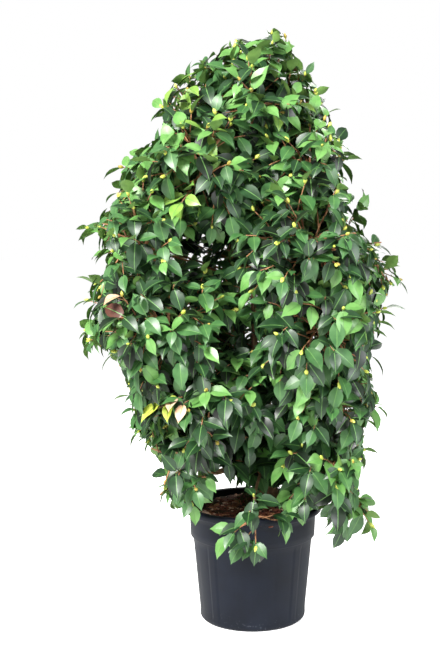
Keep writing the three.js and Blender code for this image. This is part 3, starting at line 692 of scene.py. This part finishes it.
class Crown:
    """The leaves of each tier, and the twigs and buds of them all."""

    def __init__(self):
        self.share = BODY_SHARE  # of the outline, that the shoots keep to
        self.leaves = {}
        self.twigs = Heap()
        self.buds = Heap()

    def clear_of_pot(self, point):
        above = point.z > POT_TOP + RIM_CLEARANCE
        return above or math.hypot(point.x, point.y) > RIM_RADIUS + SIDE_CLEARANCE

    def leaf(self, tier, root, along, face, length, tone_index, draw):
        """One leaf, if its blade keeps to the outline and off the pot."""
        up = face - along * face.dot(along)
        if up.length < 0.15:
            up = square_to(along)[1]
        up.normalize()
        curl = 0.25 + 0.55 * draw()
        fold = 0.16 + 0.22 * draw()
        for scale in LEAF["tries"]:
            size = length * scale
            tip = root + along * (size * 0.97) - up * (size * (curl / 2 + 0.05))
            belly = root + along * (size * 0.55)
            side = up.cross(along) * (size * 0.2)
            checks = (tip, belly, belly + side, belly - side)
            if all(self.inside(p) for p in checks):
                row = (root, along, up, size, curl, fold, tone_index)
                self.leaves.setdefault(tier, []).append(row)
                return True
        return False

    def bud(self, base, heading, length, draw):
        """A pointed bud on a narrow foot, all in the bud's finish or, now and then, all in the bud
        scales'.
        """
        lean = Vector((draw() - 0.5, draw() - 0.5, draw() - 0.3)) * 0.7
        heading = (heading + lean).normalized()
        shares = ((0, 0.12), (0.22, 0.26), (0.5, 0.30), (0.8, 0.17))
        points = [base + heading * (length * t) for t, _ in shares]
        radii = [length * r for _, r in shares]
        slot = 0 if draw() < 0.8 else 1
        self.buds.tube(points, radii, 6, slot, apex=base + heading * length)

    def inside(self, point):
        return in_outline(point, self.share) and self.clear_of_pot(point)

    def shoot(self, tier, start, end, face_out, draw, outer, droop, tone_index):
        """A leafy shoot: its twig, leaves in a spiral, a last leaf ahead, and buds at the tip."""
        full = end
        for share in TWIGS["tries"]:
            end = start.lerp(full, share)
            if self.inside(end):
                break
        else:
            return
        span = (end - start).length
        heading = (end - start) / span
        sag = UP * (span * 0.08 * (0.5 + draw()))
        side, over = square_to(heading)
        count = max(LEAF["fewest"], min(LEAF["most"], round(span / LEAF["spacing"])))
        spin = draw() * 2 * math.pi
        reached = 0
        for j in range(count):
            share = 1 - 0.78 * (j / count) ** 1.15
            spin += GOLDEN_ANGLE + 0.5 * (draw() - 0.5)
            root = start.lerp(end, share) + sag * (4 * share * (1 - share))
            radial = side * math.cos(spin) + over * math.sin(spin)
            if j == 0:
                leafward = heading + radial * 0.25
            else:
                leafward = heading * (0.55 - 0.25 * draw()) + radial * 0.9
            leafward -= UP * (droop * (0.5 + draw()))
            leafward.normalize()
            face = face_out * 0.8 + UP * 0.75 + radial * 0.15
            face += Vector((draw() - 0.5, draw() - 0.5, draw() - 0.5)) * 0.55
            size = LEAF["length"] * (0.72 + 0.38 * draw())
            if j < 2 and outer > 0.9:
                size *= 0.9
            shade = tone_index
            pick = draw()
            if pick < 0.22:
                shade = max(DEEP_SHADE, shade - 1)
            elif pick > 0.86 and shade < FRESH:
                shade += 1
            if self.leaf(tier, root, leafward, face, size, shade, draw):
                reached = max(reached, share)
        if not reached:
            return
        # The twig ends at its last leaf.
        tip = start.lerp(end, reached)
        thick = TWIGS["shoot"]
        points = [start, start.lerp(tip, 0.5) + sag * reached, tip]
        self.twigs.tube(points, [thick * 1.25, thick, thick * 0.7], 4)
        if outer > 0.8 and draw() < BUDS["share"]:
            for _ in range(1 + int(BUDS["more"] * draw())):
                base = tip - heading * (0.006 * draw())
                if self.inside(base + heading * 0.016):
                    self.bud(base, heading, BUDS["length"] + BUDS["longer"] * draw(), draw)

    def tone_for(self, outer, height, draw):
        """A spray's tone: darkest inside the crown, as painted shade, fresher outside and towards
        the top.
        """
        pick = draw() + 0.12 * (height - 1.2)
        # Painted shade: the further in the shoot stands, the darker its tone, darkest deep inside
        # the crown.
        if outer < 0.62:
            return DEEP_SHADE if pick < 0.55 else DARK
        if outer < 0.85:
            return DARK if pick < 0.6 else MID
        if pick < 0.32:
            return DARK
        if pick < 0.70:
            return MID
        return FRESH if pick < 1.0 else BRIGHT

    def mass(self, mass):
        """The source's rule: a stem, branches over the cap, then side shoots and their leaves."""
        draw = seeded(mass.number)
        crest = mass.centre + mass.outward * (mass.reach(mass.outward) * 0.4)
        heart = mass.centre + Vector((draw(), draw(), draw())) * 0.014
        self.twigs.tube([mass.foot, heart, crest], [TWIGS["stem"], TWIGS["branch"], 0.003], 6)
        u, v = square_to(mass.outward)
        turn = draw() * 2 * math.pi
        lowest = math.cos(math.radians(TWIGS["cap"]))
        count = max(TWIGS["fewest"], round(TWIGS["per_area"] * mass.radius**2))
        if mass.tier == "spray":
            count = TWIGS["of_a_spray"]
        droop = 0.06 if mass.tier == "leader" else lerp(0.62, 0.16, (mass.centre.z - 0.6) / 1.3)
        for k in range(count):
            high = lerp(1, lowest, k / (count - 0.5))
            wide = math.sqrt(1 - high * high)
            angle = turn + k * GOLDEN_ANGLE + (draw() - 0.5) * 0.5
            direction = mass.outward * high + (u * math.cos(angle) + v * math.sin(angle)) * wide
            reach = mass.reach(direction)
            start = mass.centre.lerp(crest, max(0, high) * 0.6)
            end = mass.centre + direction * (reach * TWIGS["share"])
            if not self.inside(end):
                continue
            bend = start.lerp(end, 0.5) + UP * (reach * 0.05)
            thick = TWIGS["branch"]
            self.twigs.tube([start, bend, end], [thick, thick * 0.85, thick * 0.65], 5)
            self.branch_shoots(mass, start, end, direction, reach, angle, droop, draw)

    def branch_shoots(self, mass, start, end, direction, reach, angle, droop, draw):
        """The shoot that carries a branch on, and the side shoots round it."""
        free = reach / mass.radius  # under 1 where a neighbour's space is in the way
        heading = (end - start).normalized()
        side, over = square_to(heading)
        face_out = (direction + (end - middle(end.z)).normalized()).normalized()
        length = reach * (0.93 - TWIGS["share"])
        tip = end + (direction + heading * 0.3).normalized() * max(0.04, length)
        outer = 1 if free > 0.8 else 0.55 + 0.3 * free
        shade = self.tone_for(outer, tip.z, draw)
        self.shoot(mass.tier, end, tip, face_out, draw, outer, droop, shade)
        for j in range(1 if mass.tier == "spray" else TWIGS["sides"]):
            share = lerp(0.45, 0.95, j / (TWIGS["sides"] - 1))
            spin = angle + (j + 1) * GOLDEN_ANGLE + draw()
            radial = side * math.cos(spin) + over * math.sin(spin)
            root = start.lerp(end, share)
            way = (heading * 0.65 + radial * 0.8 + direction * 0.25).normalized()
            offset = root - mass.centre
            room = mass.reach((offset + way * 0.1).normalized()) * 0.97 - offset.length
            tip = root + way * min(0.15, max(0.05, room))
            level = outer * lerp(0.72, 1, j / (TWIGS["sides"] - 1))
            shade = self.tone_for(level, tip.z, draw)
            self.shoot(mass.tier, root, tip, face_out, draw, level, droop, shade)

    def tip_shoots(self, masses, rows, seed):
        """The far shoots of the outline, each on from the mass nearest to it."""
        draw = seeded(seed)
        self.share = FAR_SHARE
        for z, x in rows:
            depth = (draw() - 0.5) * FAR_SHOOTS["depth"]
            if z < FAR_SHOOTS["low"]:
                depth -= FAR_SHOOTS["forward"]
            tip = Vector((x, depth, z))
            # The depth moves the tip in the view, so it is moved back to the outline.
            tip.x *= (depth - CAMERA_PLACE.y) / -CAMERA_PLACE.y
            mass = min(masses, key=lambda m: (m.centre - tip).length - m.radius)
            heading = tip - mass.centre
            heading = heading.normalized() + Vector((0.35 * math.copysign(1, x), 0, 0.1))
            heading += UP * FAR_RISE.get(mass.tier, 0)
            heading.normalize()
            end = tip - heading * (LEAF["length"] * 0.55)
            start = end - heading * FAR_SHOOTS["length"]
            joint = mass.centre.lerp(start, 0.35)
            if self.inside(start) and self.inside(end):
                thick = TWIGS["shoot"]
                self.twigs.tube([joint, start], [thick * 1.6, thick * 1.2], 5)
            face_out = (end - middle(end.z)).normalized()
            droop = 0.05 if z > 1.7 else 0.22
            shade = MID if draw() < 0.5 else FRESH
            self.shoot(mass.tier, start, end, face_out, draw, 1, droop, shade)
            # A second, shorter shoot leaves the same joint.
            aside = UP * (0.05 * (draw() - 0.5)) + Vector((0, 0.10 * (draw() - 0.5), 0))
            end = end - heading * FAR_SHOOTS["second"] + aside
            self.shoot(mass.tier, start, end, face_out, draw, 1, droop, shade)

    def dress_limb(self, masses, limb, rule, draw):
        """Short leafy shoots round a limb, where the masses leave the column open."""
        z = rule["lowest"]
        turn = limb.azimuth
        while z < limb.curve(1).z:
            root = limb.curve(limb.at_height(z))
            turn += GOLDEN_ANGLE
            angle = limb.azimuth + math.radians(rule["swing"]) * math.sin(turn)
            out = Vector((math.cos(angle), math.sin(angle), 0.35 + 0.4 * draw())).normalized()
            start = root + out * 0.012
            end = root + out * (rule["length"] * (0.7 + 0.6 * draw()))
            mass = min(masses, key=lambda m: (m.centre - end).length - m.radius)
            shade = self.tone_for(0.7, z, draw)
            self.shoot(mass.tier, start, end, out, draw, 0.7, 0.15, shade)
            z += rule["apart"]

    def stem_shoots(self, masses, stems):
        draw = seeded(SEEDS["stems"])
        for stem in stems:
            self.dress_limb(masses, stem, STEM_SHOOTS, draw)
        for k in range(TRUNK_ROWS):
            azimuth = 2 * math.pi * k / TRUNK_ROWS
            trunk = Limb(lambda t: TRUNK_FOOT.lerp(TRUNK_FORK, t), 0, 0, azimuth)
            self.dress_limb(masses, trunk, TRUNK_SHOOTS, draw)

    def tint_odd_leaves(self):
        """The few leaves of another colour: the front ones at some places of the crown."""
        for x, z, shade, count in ODD_LEAVES:
            near = []
            for rows in self.leaves.values():
                for k, (root, along, up, size, *_) in enumerate(rows):
                    belly = root + along * (size * 0.5)
                    front_x, front_z = from_the_front(belly)
                    if math.hypot(front_x - x, front_z - z) < ODD_WITHIN and up.z > -0.2:
                        near.append((belly.y, k, rows))
            for _, k, rows in sorted(near, key=lambda row: row[0])[:count]:
                rows[k] = (*rows[k][:-1], shade)


def grow_crown(masses, stems):
    crown = Crown()
    for mass in masses:
        crown.mass(mass)
    crown.stem_shoots(masses, stems)
    crown.tip_shoots(masses, LEFT_TIPS, SEEDS["left"])
    crown.tip_shoots(masses, RIGHT_TIPS, SEEDS["right"])
    crown.tint_odd_leaves()
    for tier in dict.fromkeys(mass.tier for mass in masses):
        nodes = [mass.name for mass in masses if mass.tier == tier]
        leaves_piece(f"leaves_{tier}", crown.leaves[tier], nodes)
    crown.twigs.piece("twigs", ["twig"], "bark")
    crown.buds.piece("buds", ["bud", "bud_scale"], "buds")


# ---- Bark ----

BARK_SPACING = 0.012  # between the rings of a limb's bark
SUNK = 0.020  # how deep the stems start in the trunk
# The trunk: how far up it, the radius there and how deep the lobes are.
TRUNK_STAGES = [
    (0, 0.064, 0.2), (0.12, 0.0505, 0.15), (0.34, 0.037, 0.07), (0.7, 0.0412, 0.04),
    (0.92, 0.049, 0.05), (1, 0.040, 0.06),
]
TRUNK_LOBES = 5


def bark_relief(angle, k, point):
    """Long shallow furrows and small knots, over the limb's radius."""
    ridge = noise.noise(Vector((math.cos(angle) * 2.2, math.sin(angle) * 2.2, point.z * 9)))
    knot = noise.noise(Vector((point.x * 20, point.y * 20, point.z * 16 + 7)))
    return 1 + 0.14 * ridge + 0.10 * knot


def limb_tube(heap, limb, sides, sunk):
    """A limb's bark, swollen where the limb starts."""
    length = sum((limb.curve((k + 1) / 20) - limb.curve(k / 20)).length for k in range(20))
    count = max(8, round(length / BARK_SPACING))
    points = [limb.curve(k / count) for k in range(count + 1)]
    radii = [lerp(limb.root, limb.tip, k / count) for k in range(count + 1)]
    radii[0] *= 1.35
    radii[1] *= 1.15
    if sunk:
        points[0] = points[0] - UP * sunk
    heap.tube(points, radii, sides, relief=bark_relief)


def make_trunk():
    """The trunk: lobed where it flares to its roots, and swollen where the stems part."""
    sides = 40
    rings = 26
    shares = [k / rings for k in range(rings + 1)]
    points = [TRUNK_FOOT.lerp(TRUNK_FORK, share) for share in shares]
    stages = [along_rows(TRUNK_STAGES, share) for share in shares]

    def relief(angle, k, point):
        lobes = 1 + stages[k][1] * math.cos(TRUNK_LOBES * angle)
        return lobes * bark_relief(angle, k, point)

    heap = Heap()
    heap.tube(points, [radius for radius, _ in stages], sides, relief=relief)
    trunk = heap.piece("bark_trunk", ["bark"], "bark")
    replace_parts(trunk, "trunk")


def make_bark(stems, boughs):
    make_trunk()
    for kind, limbs, sides, sunk in (("stem", stems, 12, SUNK), ("bough", boughs, 10, 0)):
        heap = Heap()
        for limb in limbs:
            limb_tube(heap, limb, sides, sunk)
        names = [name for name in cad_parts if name.startswith(kind + "_")]
        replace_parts(heap.piece(f"bark_{kind}s", ["bark"], "bark"), *names)


# ---- Pot ----

PANELS = 4
PANEL_TURN = math.radians(2.5)  # the front panel's middle, to the right of the front
PANEL_HALF = math.radians(41)
PANEL_DEPTH = 0.0022
FLUTE_DEPTH = 0.0005
FLUTES = 18
DUST_HEIGHT = 0.06


def smooth_step(t):
    t = min(1, max(0, t))
    return t * t * (3 - 2 * t)


def slope(start, end, steps):
    """A straight part of the pot's section, without the point it starts from."""
    return [
        tuple(lerp(a, b, k / steps) for a, b in zip(start, end)) for k in range(1, steps + 1)]


def pot_profile():
    """The pot's section from the middle of its underside, over the rim, to its floor inside."""
    base, corner = POT["base_radius"], POT["corner"]
    hollow, edge = POT["hollow"], POT["rim_round"]
    points = [(0.0, hollow), (base - 0.040, hollow), (base - 0.032, 0.0)]
    for k in range(7):
        angle = math.pi / 2 * k / 6
        points.append((base - corner + corner * math.sin(angle), corner - corner * math.cos(angle)))
    top = POT["step"] - 0.006
    points += slope((base, corner), (POT["body_radius"], top), 12)
    under = POT_TOP - POT["rim_depth"]
    collar = (POT["collar_radius"], POT["step"])
    points += [(POT["body_radius"] + 0.003, POT["step"] - 0.003), collar]
    points += slope(collar, (POT["collar_top"], under), 4)
    points += [(RIM_RADIUS - 0.006, under), (RIM_RADIUS - 0.002, under + 0.0015)]
    points += [(RIM_RADIUS, under + 0.005), (RIM_RADIUS, POT_TOP - edge)]
    for k in range(1, 6):
        angle = math.pi / 2 * k / 5
        out, up = edge * (1 - math.cos(angle)), edge * (1 - math.sin(angle))
        points.append((RIM_RADIUS - out, POT_TOP - up))
    points += [(POT["inner_radius"] + 0.006, POT_TOP), (POT["inner_radius"], POT_TOP - 0.006)]
    points += [(POT["inner_radius"] - 0.001, POT["floor"]), (0.0, POT["floor"])]
    return points


def panel_recess(angle, z):
    """How far the pot's side is let in at an angle from the front and a height."""
    pitch = 2 * math.pi / PANELS
    off = (angle - PANEL_TURN + pitch / 2) % pitch - pitch / 2
    inside = smooth_step((PANEL_HALF - abs(off)) / 0.02)
    low = smooth_step((z - 0.016) / 0.02)
    # The panel's top is a shallow arch under the step.
    arch = POT["step"] - 0.004 - 0.006 * (off / PANEL_HALF) ** 2
    high = smooth_step((arch - z) / 0.006)
    flute = FLUTE_DEPTH * max(0, math.cos(FLUTES * off)) ** 8
    return (PANEL_DEPTH * inside + flute) * low * high


def make_pot():
    profile = pot_profile()
    sides = 320
    points = []
    faces = []
    for r, z in profile:
        for i in range(sides):
            angle = 2 * math.pi * i / sides
            radius = r
            if POT["base_radius"] - 0.001 <= r <= POT["body_radius"] and z < POT["step"]:
                radius -= panel_recess(angle, z)
            points.append((radius * math.sin(angle), -radius * math.cos(angle), z))
    for a, b in ring_squares(len(profile) - 1, sides):
        faces += [(a, b, b + sides), (a, b + sides, a + sides)]
    piece = make_piece("pot_body", points, faces, [0] * len(faces), ["pot_plastic"], "pot")
    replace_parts(piece, "pot")


def make_pot_material():
    """Charcoal plastic, dusty towards its foot, with pale scuffs at its bottom edge."""
    material = mottled(
        "pot_plastic", "0c1019", "131823", 9, 0.52, bump=0.15, depth=0.0006, detail=9, specular=0.16)
    tree = material.node_tree
    shader = tree.nodes["Principled BSDF"]
    ramp = tree.nodes["Color Ramp"]
    place = tree.nodes["Texture Coordinate"].outputs["Object"]
    split = add_node(tree, "SeparateXYZ", Vector=place)
    low = add_node(tree, "MapRange", Value=split.outputs["Z"], From_Min=DUST_HEIGHT, From_Max=0.0)
    speck = add_node(tree, "TexNoise", Vector=place, Scale=120, Detail=6)
    scuff = add_node(tree, "MapRange", Value=speck.outputs["Fac"], From_Min=0.60, From_Max=0.85)
    both = add_node(tree, "Math")
    both.operation = "MULTIPLY"
    tree.links.new(low.outputs["Result"], both.inputs[0])
    tree.links.new(scuff.outputs["Result"], both.inputs[1])
    dusty = add_node(tree, "Mix")
    dusty.data_type = "RGBA"
    dusty.inputs["B"].default_value = tone("5c606a")
    tree.links.new(both.outputs["Value"], dusty.inputs["Factor"])
    tree.links.new(ramp.outputs["Color"], dusty.inputs["A"])
    tree.links.new(dusty.outputs["Result"], shader.inputs["Base Color"])


# ---- Mulch ----

MULCH_RELIEF = 0.0045
CHIPS = [
    ("chip_red", "5c2f1e", "7a4330", 0.85),
    ("chip_dark", "2f1c13", "49291b", 0.90),
    ("chip_tan", "8d5f42", "a9775a", 0.85),
    ("chip_pale", "c09c86", "d8bba6", 0.85),
]
CHIP_SHARES = (0.5, 0.8, 0.92)  # where each tone but the last ends, over all the chips
CHIP_COUNT = 1500
MOSS_COUNT = 900


def soil_height(x, y):
    """The mulch's top: level at the wall, and risen to the flat mound at the trunk's foot."""
    offset = math.hypot(x - TRUNK_FOOT.x, y - TRUNK_FOOT.y)
    out = math.hypot(x, y)
    near = max(0, offset - SOIL_FOOT_RADIUS)
    share = near / (near + max(1e-4, POT["inner_radius"] - out))
    return lerp(SOIL_EDGE, SOIL_FOOT, smooth_step(1 - share))


def make_mulch():
    rings = 44
    sides = 150
    edge = POT["inner_radius"] - 0.0012
    points = []
    faces = []
    for k in range(rings + 1):
        for i in range(sides):
            angle = 2 * math.pi * i / sides
            r = edge * k / rings
            x, y = r * math.cos(angle), r * math.sin(angle)
            coarse = noise.noise(Vector((x * 60, y * 60, 3)))
            rough = coarse + 0.6 * noise.noise(Vector((x, y, 0)) * 150)
            points.append((x, y, soil_height(x, y) + MULCH_RELIEF * rough * (k < rings)))
    for a, b in ring_squares(rings, sides):
        faces += [(a, a + sides, b + sides), (a, b + sides, b)]
    piece = make_piece("mulch", points, faces, [0] * len(faces), ["mulch"], "soil")
    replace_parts(piece, "soil")


CHIP_FACES = [
    (0, 2, 1), (0, 3, 2), (4, 5, 6), (4, 6, 7), (0, 1, 5), (0, 5, 4),
    (1, 2, 6), (1, 6, 5), (2, 3, 7), (2, 7, 6), (3, 0, 4), (3, 4, 7),
]


def make_chips(draw):
    """Bark chips over the mulch."""
    heap = Heap()
    for _ in range(CHIP_COUNT):
        angle = 2 * math.pi * draw()
        r = (POT["inner_radius"] - 0.014) * math.sqrt(draw())
        x, y = r * math.cos(angle), r * math.sin(angle)
        yaw = 2 * math.pi * draw()
        long = Vector((math.cos(yaw), math.sin(yaw), 0.5 * (draw() - 0.5))).normalized()
        wide = UP.cross(long).normalized()
        tall = long.cross(wide)
        size = 0.006 + 0.016 * draw() ** 2
        long *= size
        wide *= size * (0.3 + 0.3 * draw())
        tall *= 0.0012 + 0.0016 * draw()
        centre = Vector((x, y, soil_height(x, y) + 0.004 * draw()))
        corners = []
        for top in (-1, 1):
            for a, b in ((-1, -1), (1, -1), (1, 1), (-1, 1)):
                taper = 0.7 + 0.5 * draw()
                corners.append(centre + long * (a * taper) + wide * (b * taper) + tall * top)
        pick = draw()
        heap.add(corners, CHIP_FACES, sum(pick >= share for share in CHIP_SHARES))
    heap.piece("mulch_chips", [row[0] for row in CHIPS], "soil", smooth=False)


def make_moss(draw):
    """Moss about the trunk's foot."""
    moss = Heap()
    for _ in range(MOSS_COUNT):
        angle = 2 * math.pi * draw()
        r = 0.045 + 0.075 * draw()
        x, y = TRUNK_FOOT.x + r * math.cos(angle), TRUNK_FOOT.y + r * math.sin(angle)
        root = Vector((x, y, soil_height(x, y) - 0.002))
        lean = Vector((draw() - 0.5, draw() - 0.5, 0.9)).normalized()
        tall = 0.008 + 0.014 * draw()
        moss.tube([root, root + lean * (tall * 0.6)], [0.0022, 0.0016], 4, apex=root + lean * tall)
    moss.piece("moss", ["moss"], "soil")


def make_ground_cover():
    mottled("mulch", "2c1a12", "5e3423", 70, 0.95, bump=0.8, depth=0.004, detail=9)
    for name, low, high, roughness in CHIPS:
        mottled(name, low, high, 90, roughness, bump=0.5)
    mottled("moss", "2e3014", "57582a", 80, 0.95, bump=0.4)
    make_mulch()
    draw = seeded(SEEDS["mulch"])
    make_chips(draw)
    make_moss(draw)


# ---- Floor and light ----

FLOOR_HALF = 80
FLOOR_DROP = 0.0005  # so that it doesn't meet the pot's underside
FLOOR_GLOW = 0.7
SKY = 0.34  # how strongly the sky lights the plant, over how the camera sees it


def seen_by_camera(tree, socket, seen, otherwise):
    """Gives a socket one value for what the camera sees, and another for all other light."""
    camera_ray = add_node(tree, "LightPath").outputs["Is Camera Ray"]
    pick = add_node(tree, "MapRange", Value=camera_ray, To_Min=otherwise, To_Max=seen)
    tree.links.new(pick.outputs["Result"], socket)


def make_stage():
    mesh = bpy.data.meshes.new("floor")
    corners = [(x * FLOOR_HALF, y * FLOOR_HALF, 0) for x, y in ((-1, -1), (1, -1), (1, 1), (-1, 1))]
    mesh.from_pydata(corners, [], [(0, 1, 2, 3)])
    floor = add_object("floor", mesh)
    floor.location.z = -FLOOR_DROP
    material = mottled("floor", "f4f4f4", "f8f8f8", 2, 0.9, bump=0.02)
    shader = material.node_tree.nodes["Principled BSDF"]
    shader.inputs["Emission Color"].default_value = (1, 1, 1, 1)
    # The camera sees a floor as white as the sky behind it.
    seen_by_camera(material.node_tree, shader.inputs["Emission Strength"], FLOOR_GLOW, 0)
    mesh.materials.append(material)


def make_light(name, place, aim, size, power, colour):
    data = bpy.data.lights.new(name, "AREA")
    data.shape = "DISK"
    data.size = size
    data.energy = power
    data.color = colour
    light = add_object(name, data)
    light.location = place
    light.rotation_euler = (Vector(aim) - Vector(place)).to_track_quat("-Z", "Y").to_euler()


def light_scene():
    world = bpy.data.worlds.new("studio")
    world.use_nodes = True
    sky = world.node_tree.nodes["Background"]
    sky.inputs["Color"].default_value = (1, 1, 1, 1)
    seen_by_camera(world.node_tree, sky.inputs["Strength"], 1, SKY)
    bpy.context.scene.world = world
    crown = (0, 0, 1.1)
    make_light("key", (-2.4, -3.6, 4.2), crown, 2.2, 760, (1, 0.99, 0.97))
    make_light("fill", (3.6, -2.8, 2.6), crown, 2.6, 210, (0.95, 0.98, 1))
    make_light("back", (0.8, 3.6, 3.8), crown, 2.6, 170, (1, 1, 0.97))
    bpy.context.scene.view_settings.view_transform = "Standard"


# ---- The whole scene ----

make_camera()
make_materials()
make_pot_material()
MASSES = describe_masses()
STEM_LIMBS, BOUGH_LIMBS = grow_limbs(MASSES)
grow_crown(MASSES, STEM_LIMBS)
make_bark(STEM_LIMBS, BOUGH_LIMBS)
make_pot()
make_ground_cover()
make_stage()
light_scene()
